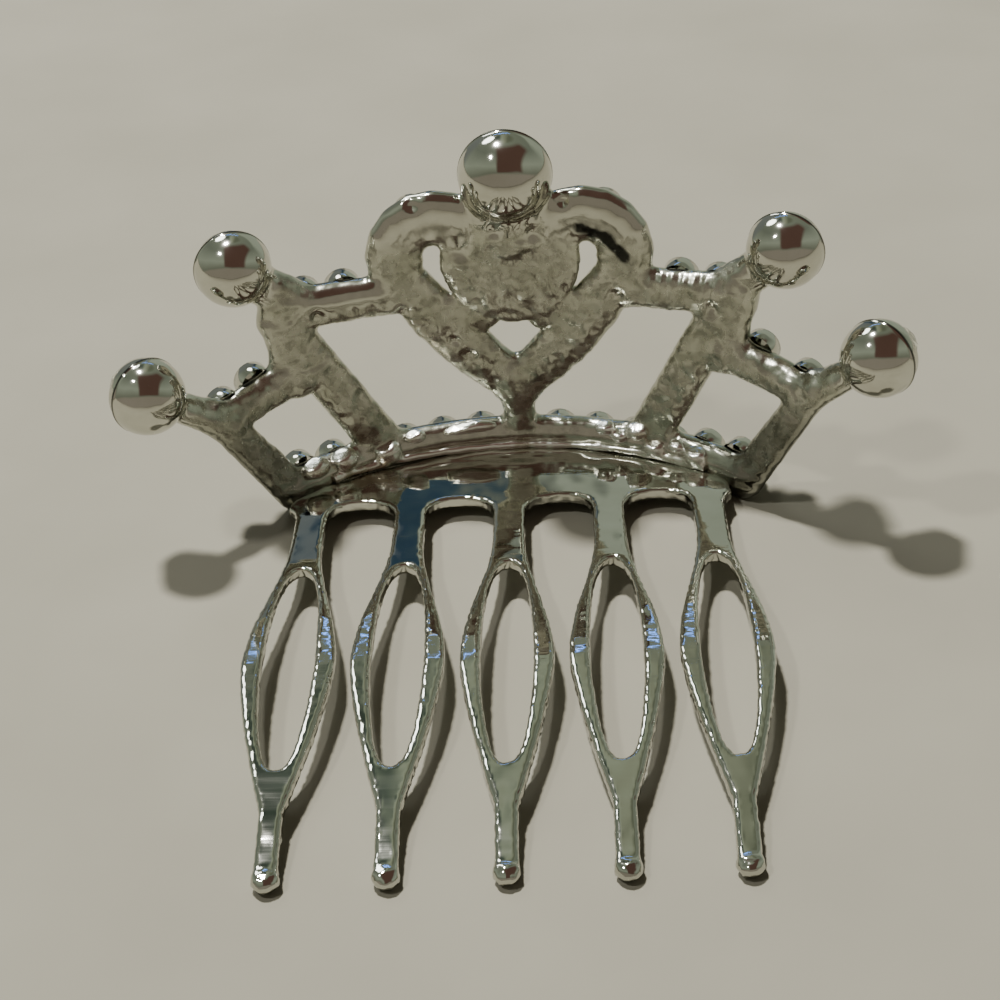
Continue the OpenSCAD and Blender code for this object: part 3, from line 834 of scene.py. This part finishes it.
def cast_share(u, w, d):
    """Roughness lies on the backs. The balls and the tops of the lobes are polished."""
    lobe_top = np.clip((w - LOBE[1] - LOBE_FROM) / LOBE_FADE, 0, 1)
    lobe_top = lobe_top * (np.abs(u) > LOBE_SPAN[0]) * (np.abs(u) < LOBE_SPAN[1])
    ball = np.zeros(len(u))
    for ball_u, ball_w, radius in BALLS:
        inside = radius + BALL_OUT - np.hypot(u - ball_u, w - ball_w)
        ball = np.maximum(ball, np.clip(inside / BALL_FADE, 0, 1))
    groove = soft_box(GROOVE, (6, 4), u, w)
    on_band = np.exp(-((w - BAND_W) / BAND_POLISH_HALF) ** 6)
    return (back_share(d) * (1 - LOBE_POLISH * lobe_top) * (1 - ball) * (1 - GROOVE_POLISH * groove)
            * (1 - BAND_POLISH * on_band))


def knob_share(u, w, d):
    """1 on top of each lump, and 0 away from them."""
    knobs = np.zeros(len(u))
    for at_u, at_w, radius in LUMPS:
        knobs = np.maximum(knobs, np.exp(-(np.hypot(u - at_u, w - at_w) / radius) ** 2) * (d < 0))
    return knobs


def cast_relief(u, w, d, cast, knobs, lumps, fine):
    """How far each point of the casting stands out, in millimetres."""
    back = back_share(d)
    column = soft_box(COLUMN_PATCH, (4, 4), u, w) * back
    rows = np.cos(2 * math.pi * (w - BAND_W) / RIDGE_PITCH)
    ridge = np.exp(-((w - BAND_W) / RIDGE_HALF) ** 4) * (d < 0) * rows
    ribs = soft_box(RIBS, (6, 4), u, w) * (d < 0) * np.cos(2 * math.pi * u / RIB_PITCH)
    grain = (LUMP_RELIEF + COLUMN_RELIEF * column) * lumps + FINE_RELIEF * fine
    relief = cast * (1 - knobs) * grain + LUMP_HEIGHT * knobs
    groove = soft_box(GROOVE, (6, 4), u, w)
    return relief + RIDGE_RELIEF * ridge + RIB_RELIEF * ribs - GROOVE_DEPTH * groove * back


def lobe_painted_reflection(u, w, d, lumps):
    # A dark reflection, painted into the colour of the lobe's back
    away = np.full(len(u), FAR)
    for a, b in zip(REFLECTION_LINE[:-1], REFLECTION_LINE[1:]):
        away = np.minimum(away, to_segment(a, b, u, w)[0])
    inside = REFLECTION_WIDTH / 2 - away + REFLECTION_EDGE * lumps
    return np.clip(inside / REFLECTION_EDGE + 0.5, 0, 1) * (d < 0)


def cast_tarnish_and_shade(u, w, cast, lumps):
    # Tarnish darkens the hollows, and painted shade darkens the outer struts
    outer = np.clip((np.abs(u) - OUTER_FROM) / OUTER_FADE, 0, 1)
    outer = outer * np.clip((OUTER_BELOW - w) / OUTER_DROP, 0, 1)
    hollows = np.clip(-lumps * HOLLOW_SHARE - HOLLOW_START, 0, HOLLOW_MOST) * cast
    return np.maximum(hollows, OUTER_SHADE * outer)


def build_body():
    """The casting without its cups, collars and solder."""
    points, quads = field_surface(frame_field, *FRAME_GRID)
    u, w, d = points.T
    solid = place(u, w, d)
    body = new_object("frame_body", solid, quads[:, ::-1])
    lumps = rough(solid, LUMP_SIZE)
    fine = rough(solid + FINE_OFFSET, FINE_SIZE, 2)
    cast, knobs = cast_share(u, w, d), knob_share(u, w, d)
    push_out(body, cast_relief(u, w, d, cast, knobs, lumps, fine))
    cast = cast * (1 - KNOB_POLISH * knobs)
    set_attribute(body, "cast", LEAST_CAST + (1 - LEAST_CAST) * cast)
    # The dark value: tarnish in hollows, painted shade on the outer struts, and a painted dark reflection on
    # a lobe
    set_attribute(body, "stain_and_painted_light", np.maximum(cast_tarnish_and_shade(u, w, cast, lumps), lobe_painted_reflection(u, w, d, lumps)))
    return body


def build_frame():
    cast_metal = frame_material()
    parts = [build_body()] + build_rings()
    for part in parts:
        part.data.materials.append(cast_metal)
    whole = join(parts + [build_solder()], "cast_frame")
    keep_above_floor(whole)
    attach(whole, "root")
    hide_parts("tiara_frame")


# The comb's shape

# The powers of the eye's curve at its top and at its foot
TOP_POWERS, FOOT_POWERS = (2.3, 0.42), (1.6, 0.4)
TOOTH_POINTS, EYE_POINTS = 26, 34
# The teeth run this far into the bar, the bar's ends slant in, and both are filleted
TOOTH_OVERLAP = 3
BAR_SLANT, BAR_SLANT_LENGTH = 0.32, 9
FILLET = 2.4
EDGE_ROUND = 0.2
TIP_BEAD, BEAD_HEIGHT, BEAD_BLEND = 0.8, 0.6, 0.25
BAND_GAP = 0.04
DEEP_INSIDE = -9
COMB_GRID = [-18.0, -0.6, -0.7], [18.0, COMB_LENGTH + 0.5, 1.1], 0.17, 2
# Uneven metal and a burred edge: how far they stand out, their grain size, and more
WOBBLE, WOBBLE_SIZE = 0.03, 2.6
BURR, BURR_SIZE, BURR_WIDTH, BURR_OFFSET = 0.06, 0.4, 0.35, 70
# A stain of flux on the bar, as (middle, half size) in (x, y), and how uneven it is
STAIN_SPOT = ((10.5, -16.6), (2.6, 1.6))
STAIN_EVEN, STAIN_UNEVEN, STAIN_GRAIN, STAIN_DARK = 0.7, 1.2, 0.8, 0.7


def ease(s):
    return (1 - np.cos(math.pi * s)) / 2


def tooth_half(y):
    """Half of a tooth's width at that distance from its tip."""
    belly = np.clip((y - KINK_AT) / (WIDE_AT - KINK_AT), 0, 1)
    waist = np.clip((y - WIDE_AT) / (NECK_AT - WIDE_AT), 0, 1)
    wide = mix(SHAFT_WIDTH, TOOTH_WIDTH, (belly + np.sin(math.pi / 2 * belly)) / 2)
    return np.where(y < WIDE_AT, wide, mix(TOOTH_WIDTH, NECK_WIDTH, ease(waist))) / 2


def eye_half(y):
    """Half of the eye-shaped hole's width."""
    top = np.clip((y - WIDE_AT) / (EYE_TOP_AT - WIDE_AT), 0, 1)
    foot = np.clip((WIDE_AT - y) / (WIDE_AT - EYE_FOOT_AT), 0, 1)
    upper = (1 - top ** TOP_POWERS[0]) ** TOP_POWERS[1]
    lower = (1 - foot ** FOOT_POWERS[0]) ** FOOT_POWERS[1]
    return EYE_WIDTH / 2 * np.where(y > WIDE_AT, upper, lower)


def polygon_distance(x, y, loop):
    """Distance to a closed outline, negative inside."""
    best = np.full(x.shape, FAR ** 2)
    odd = np.zeros(x.shape, bool)
    for a, b in zip(loop, np.roll(loop, -1, axis=0)):
        ab = b - a
        s = np.clip(((x - a[0]) * ab[0] + (y - a[1]) * ab[1]) / max(ab @ ab, 1e-12), 0, 1)
        best = np.minimum(best, (x - a[0] - s * ab[0]) ** 2 + (y - a[1] - s * ab[1]) ** 2)
        crosses = (a[1] > y) != (b[1] > y)
        if a[1] != b[1]:
            odd ^= crosses & (x < a[0] + (y - a[1]) * ab[0] / ab[1])
    return np.where(odd, -1, 1) * np.sqrt(best)


def mirrored(halves, ys):
    """A closed outline from its half widths."""
    right = np.stack([halves, ys], axis=1)
    return np.concatenate([right, right[::-1] * [-1, 1]])


def from_tooth(x):
    """Distance to +X from the middle line of the nearest tooth."""
    number = np.clip(np.round(x / TOOTH_PITCH + MID_TOOTH), 0, TEETH - 1)
    return x - (number - MID_TOOTH) * TOOTH_PITCH


def comb_plan(x, y):
    """Distance to the comb's flat outline. All its teeth are alike."""
    across = from_tooth(x)
    ys = np.array([TIP_AT, *np.linspace(KINK_AT, NECK_AT, TOOTH_POINTS), BAR_AT + TOOTH_OVERLAP])
    tooth = polygon_distance(across, y, mirrored(tooth_half(ys), ys))
    eye_ys = mix(EYE_FOOT_AT, EYE_TOP_AT, ease(np.linspace(0, 1, EYE_POINTS)))
    eye = polygon_distance(across, y, mirrored(eye_half(eye_ys), eye_ys))
    tooth = np.maximum(tooth, -eye)
    half = MID_TOOTH * TOOTH_PITCH + NECK_WIDTH / 2
    end = np.abs(x) - half + BAR_SLANT * np.clip(y - BAR_AT, 0, BAR_SLANT_LENGTH)
    return blend(tooth, np.maximum(end, BAR_AT - y), FILLET)


def comb_place(x, y, z):
    """From the comb's flat plan to its place."""
    height = z + np.interp(y, RISE_AT, RISE) + SHEET / 2
    px, py = x, y - COMB_LENGTH
    turn = math.pi + COMB_TURN
    c, s = math.cos(turn), math.sin(turn)
    return np.stack([COMB_OFFSET + c * px - s * py, BAND_Y + s * px + c * py, height], axis=-1)


def sheet_field(x, y, z):
    plan = comb_plan(x, y) + EDGE_ROUND
    flat = np.abs(z) - SHEET / 2 + EDGE_ROUND
    outside = np.hypot(np.maximum(plan, 0), np.maximum(flat, 0))
    return outside + np.minimum(np.maximum(plan, flat), 0) - EDGE_ROUND


def tip_bead(x, y, z):
    across = from_tooth(x)
    lift = BEAD_HEIGHT - RISE[0] - SHEET / 2
    away = (across / TIP_BEAD) ** 2 + ((y - TIP_BEAD) / TIP_BEAD) ** 2 + ((z - lift) / BEAD_HEIGHT) ** 2
    return (np.sqrt(away) - 1) * BEAD_HEIGHT


def behind_band(x, y, z):
    """Positive where the comb would reach into the band or past it."""
    at = comb_place(x, y, z)
    r = 1 / bend_at(SEAM_W)
    centre_y = BAND_Y + LEAN * SEAM_W + r
    behind = np.hypot(at[..., 0], at[..., 1] - centre_y) - (r - HALF_DEPTH - BAND_GAP)
    return np.where(at[..., 1] < centre_y, behind, DEEP_INSIDE)


def comb_field(x, y, z):
    body = blend(sheet_field(x, y, z), tip_bead(x, y, z), BEAD_BLEND)
    return np.maximum(body, behind_band(x, y, z))


def comb_stain(solid):
    (at_x, at_y), (half_x, half_y) = STAIN_SPOT
    spot = np.exp(-(((solid[:, 0] - at_x) / half_x) ** 2 + ((solid[:, 1] - at_y) / half_y) ** 2) ** 2)
    return np.clip(spot * (STAIN_EVEN + STAIN_UNEVEN * rough(solid, STAIN_GRAIN)), 0, 1)


def build_comb():
    points, quads = field_surface(comb_field, *COMB_GRID)
    solid = comb_place(*points.T)
    comb = new_object("hair_comb", solid, quads)
    plan = comb_plan(points[:, 0], points[:, 1])
    wobble = rough(solid, WOBBLE_SIZE, 2)
    burr = np.clip(1 + plan / BURR_WIDTH, 0, 1) * rough(solid + BURR_OFFSET, BURR_SIZE, 2)
    push_out(comb, WOBBLE * wobble + BURR * burr)
    keep_above_floor(comb)
    stain_and_painted_light = comb_stain(solid)
    set_attribute(comb, "stain_and_painted_light", STAIN_DARK * stain_and_painted_light)
    set_attribute(comb, "cast", stain_and_painted_light)
    comb.data.materials.append(comb_material())
    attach(comb, "root")
    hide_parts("comb")


# Stones: the crown is clear glass, and the pavilion is foiled

MIDDLE_STONE, SIDE_STONE = 5.16, 4.192
HEART_STONE = 2 * (CUP_RADIUS - CUP_WALL)
# Heights of crowns and girdles: the least, and a share of the stone's width
BALL_CROWN = 0.39
CROWN_LEAST, CROWN_SHARE = 0.2, 0.22
GIRDLE_LEAST, GIRDLE_SHARE = 0.08, 0.03
# Facets round the table, radii and heights as shares
FACETS = 8
TABLE_RADIUS, STAR_RADIUS, LOW_RADIUS = 0.5, 0.74, 0.5
STAR_HEIGHT, LOW_DEPTH = 0.633, 0.16
# Each stone is turned this much more than the last
STONE_TURN = 0.7


def brilliant_points(width, crown):
    """Points of a round cut, and where each of its rings starts."""
    r = width / 2
    girdle = GIRDLE_LEAST + GIRDLE_SHARE * width
    rings = [(TABLE_RADIUS * r, girdle + crown, FACETS, 0),
             (STAR_RADIUS * r, girdle + STAR_HEIGHT * crown, FACETS, 0.5),
             (r, girdle, 2 * FACETS, 0), (r, 0, 2 * FACETS, 0),
             (LOW_RADIUS * r, -LOW_DEPTH * width, FACETS, 0.5)]
    points, starts = [], []
    for radius, height, count, shift in rings:
        starts.append(len(points))
        for i in range(count):
            turn = 2 * math.pi * (i + shift) / count
            points.append((radius * math.cos(turn), radius * math.sin(turn), height))
    points.append((0, 0, -PAVILION * width))
    return points, starts


def brilliant(width, crown):
    """Points, clear facets and foiled facets of a round cut."""
    points, (table, star, top, foot, low) = brilliant_points(width, crown)
    culet = len(points) - 1
    crown_faces = [[table + i for i in range(FACETS)]]
    foil_faces = []
    for i in range(FACETS):
        j, before = (i + 1) % FACETS, (i - 1) % FACETS
        g, h, k = 2 * i, 2 * i + 1, (2 * i + 2) % (2 * FACETS)
        crown_faces += [[table + i, star + i, table + j], [table + i, star + before, top + g, star + i],
                        [star + i, top + g, top + h], [star + i, top + h, top + k],
                        [top + g, foot + g, foot + h, top + h], [top + h, foot + h, foot + k, top + k]]
        foil_faces += [[low + i, foot + h, foot + g], [low + i, foot + k, foot + h],
                       [culet, low + i, foot + g, low + before]]
    return np.array(points), crown_faces, foil_faces


def stone_places():
    """By node: a stone's place as (u, w), its girdle's depth, and its width."""
    places = {}
    for i, ball in enumerate(sorted(BALLS)):
        width = MIDDLE_STONE if ball == MIDDLE_BALL else SIDE_STONE
        places[f"point_stone_{i + 1}"] = (ball[:2], BALL_RIM, width)
    places["heart_stone"] = (tuple(HEART_CUP), HEART_GIRDLE, HEART_STONE)
    small = small_places()
    for name, count in (("heart_ring_stone", 13), ("bar_stone", 4), ("stem_stone", 4), ("band_stone", 13)):
        for i in range(count):
            places[f"{name}_{i + 1}"] = (small.pop(0), SMALL_GIRDLE, SMALL_STONE)
    return places


def build_stones():
    glass, foil = glass_material(), foil_material()
    for i, (node, ((u, w), depth, width)) in enumerate(stone_places().items()):
        crown = BALL_CROWN * width if depth == BALL_RIM else CROWN_LEAST + CROWN_SHARE * width
        points, crown_faces, foil_faces = brilliant(width, crown)
        turn = STONE_TURN * i
        c, s = math.cos(turn), math.sin(turn)
        turned = points @ np.array([[c, s, 0], [-s, c, 0], [0, 0, 1]])
        stone = new_object("cut_" + node, set_on(turned, u, w, depth), crown_faces + foil_faces, smooth=False)
        stone.data.materials.append(glass)
        stone.data.materials.append(foil)
        faces = [0] * len(crown_faces) + [1] * len(foil_faces)
        stone.data.polygons.foreach_set("material_index", faces)
        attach(stone, "root")
        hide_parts(node)


# Floor: a plain pale square, a little darker towards the camera, in metres

FLOOR_HALF = 1.6
FLOOR_MOTTLE = (60, 3)
FLOOR_TONES = [(0.3, (0.190, 0.182, 0.146)), (0.7, (0.209, 0.200, 0.161))]
FLOOR_NEAR_TONE = (0.115, 0.103, 0.083)
FLOOR_NEAR_SHARE = (0.045, 0.16, 0, 0.5)
FLOOR_ROUGHNESS, FLOOR_SPECULAR = 0.9, 0.1


def floor_material():
    material, tree, shader = new_material("pale_floor")
    plain = ramp(tree, noise_node(tree, *FLOOR_MOTTLE), FLOOR_TONES)
    coords = tree.nodes.new("ShaderNodeTexCoord").outputs["Object"]
    split = add_node(tree, "ShaderNodeSeparateXYZ", {"Vector": coords})
    share = map_range(tree, split.outputs["Y"], *FLOOR_NEAR_SHARE)
    link_shader(tree, shader, mix_colour(tree, share, plain, FLOOR_NEAR_TONE))
    shader.inputs["Roughness"].default_value = FLOOR_ROUGHNESS
    shader.inputs["Specular IOR Level"].default_value = FLOOR_SPECULAR
    return material


def add_stage():
    mesh = bpy.data.meshes.new("floor")
    corners = [(x * FLOOR_HALF, y * FLOOR_HALF, 0) for x, y in ((-1, -1), (1, -1), (1, 1), (-1, 1))]
    mesh.from_pydata(corners, [], [(0, 1, 2, 3)])
    floor = add_object("floor", mesh)
    mesh.materials.append(floor_material())


# Lamps: name, direction from the part, distance, width and height in metres, power, colour

LAMPS = [
    ("key", (0.23, -0.34, 1.0), 1.1, 0.09, 0.09, 29, (1.0, 0.98, 0.94)),
    ("second", (0.53, 0.2, 1.0), 1.1, 0.09, 0.09, 5, (1.0, 0.99, 0.95)),
    ("glow", (0.38, -0.62, 0.66), 1.2, 0.36, 0.36, 2.5, (0.97, 1.0, 0.98)),
    ("blue", (0.06, -0.8, 0.6), 1.2, 0.45, 0.018, 0.12, (0.10, 0.30, 1.0))]


def add_light(name, direction, distance, width, height, power, colour):
    """An oval lamp that faces the part."""
    data = bpy.data.lights.new(name, "AREA")
    data.shape = "ELLIPSE"
    data.size, data.size_y, data.energy, data.color = width, height, power, colour
    light = add_object(name, data)
    light.location = at = Vector(direction).normalized() * distance
    light.rotation_euler = at.to_track_quat("Z", "Y").to_euler()


# The studio round the part. Its tones lie along fixed directions: the camera's up and towards the
# camera, sideways to -X, away at the camera's far side, and straight up.

WORLD_UP = (0.0, -0.559, 0.829)
WORLD_FRONT = (0.0, 0.829, 0.559)
WORLD_SIDE, WORLD_AWAY, WORLD_ABOVE = (-1.0, 0.0, 0.0), (0.0, -1.0, 0.0), (0.0, 0.0, 1.0)
LOWER_TONE = (0.30, 0.27, 0.22)
UPPER_TONES = [(0.0, (0.20, 0.215, 0.165)), (0.3, (0.36, 0.40, 0.32)), (0.7, (0.20, 0.225, 0.18)),
               (1.0, (0.24, 0.27, 0.21))]
UPPER_SHARE = (-0.1, -0.02, 0, 1)
# Round WORLD_UP: dark towards +X, pale in the middle, darker again towards -X
ROOF_TONES = [(0.0, (0.03, 0.045, 0.035)), (0.3, (0.08, 0.11, 0.085)), (0.5, (0.37, 0.42, 0.31)),
              (0.7, (0.32, 0.35, 0.25)), (1.0, (0.16, 0.18, 0.125))]
ROOF_ACROSS = (-0.22, 0.12, 0, 1)
ROOF_SHARE = (0.955, 0.98, 0, 1)
# Low down and away from the camera: grey, then dark blue towards +X, and pale towards -X
AWAY_TONES = [(0.0, (0.20, 0.22, 0.205)), (0.3, (0.15, 0.18, 0.195)), (0.38, (0.03, 0.06, 0.095)),
              (0.48, (0.045, 0.08, 0.105)), (0.57, (0.17, 0.19, 0.16)), (0.68, (0.40, 0.45, 0.36))]
AWAY_ACROSS = (-0.25, 0.1, 0, 1)
AWAY_SHARE = (0.5, 0.7, 0, 1)
LOW_SHARE = (0.46, 0.54, 1, 0)
# A dark patch on the camera's side, as (low, high, soft edge) across and upwards
PATCH_TONE = (0.12, 0.07, 0.055)
PATCH_ACROSS = (-0.25, 0.7, 0.05)
PATCH_UP = (0.0, 0.9, 0.04)
PATCH_FRONT = (0, 0.2, 0, 1)


def towards(tree, view, direction):
    """How far a view direction points that way, from -1 to 1."""
    node = add_node(tree, "ShaderNodeVectorMath", {0: view, 1: direction})
    node.operation = "DOT_PRODUCT"
    return node.outputs["Value"]


def inside(tree, value, low, high, soft):
    """1 between two values, with soft edges."""
    up = map_range(tree, value, low - soft, low + soft, 0, 1)
    down = map_range(tree, value, high - soft, high + soft, 1, 0)
    return combine(tree, "MULTIPLY", up, down)


def away_share(tree, view):
    away = map_range(tree, towards(tree, view, WORLD_AWAY), *AWAY_SHARE)
    return combine(tree, "MULTIPLY", away, map_range(tree, towards(tree, view, WORLD_ABOVE), *LOW_SHARE))


def patch_share(tree, view, side, over):
    patch = combine(tree, "MULTIPLY", inside(tree, side, *PATCH_ACROSS), inside(tree, over, *PATCH_UP))
    return combine(tree, "MULTIPLY", patch, map_range(tree, towards(tree, view, WORLD_FRONT), *PATCH_FRONT))


def add_world():
    """A dim studio, warm below and grey-green above, with the patches named above."""
    world = bpy.data.worlds.new("studio")
    bpy.context.scene.world = world
    world.use_nodes = True
    tree = world.node_tree
    view = tree.nodes.new("ShaderNodeTexCoord").outputs["Generated"]
    over = towards(tree, view, WORLD_UP)
    side = towards(tree, view, WORLD_SIDE)
    upper = ramp(tree, over, UPPER_TONES)
    sky = mix_colour(tree, map_range(tree, over, *UPPER_SHARE), LOWER_TONE, upper)
    roof = ramp(tree, map_range(tree, side, *ROOF_ACROSS), ROOF_TONES)
    sky = mix_colour(tree, map_range(tree, over, *ROOF_SHARE), sky, roof)
    away = ramp(tree, map_range(tree, side, *AWAY_ACROSS), AWAY_TONES)
    sky = mix_colour(tree, away_share(tree, view), sky, away)
    sky = mix_colour(tree, patch_share(tree, view, side, over), sky, PATCH_TONE)
    background = tree.nodes["Background"]
    tree.links.new(sky, background.inputs["Color"])
    background.inputs["Strength"].default_value = 1.0


add_camera()
build_frame()
build_comb()
build_stones()
add_stage()
for lamp in LAMPS:
    add_light(*lamp)
add_world()
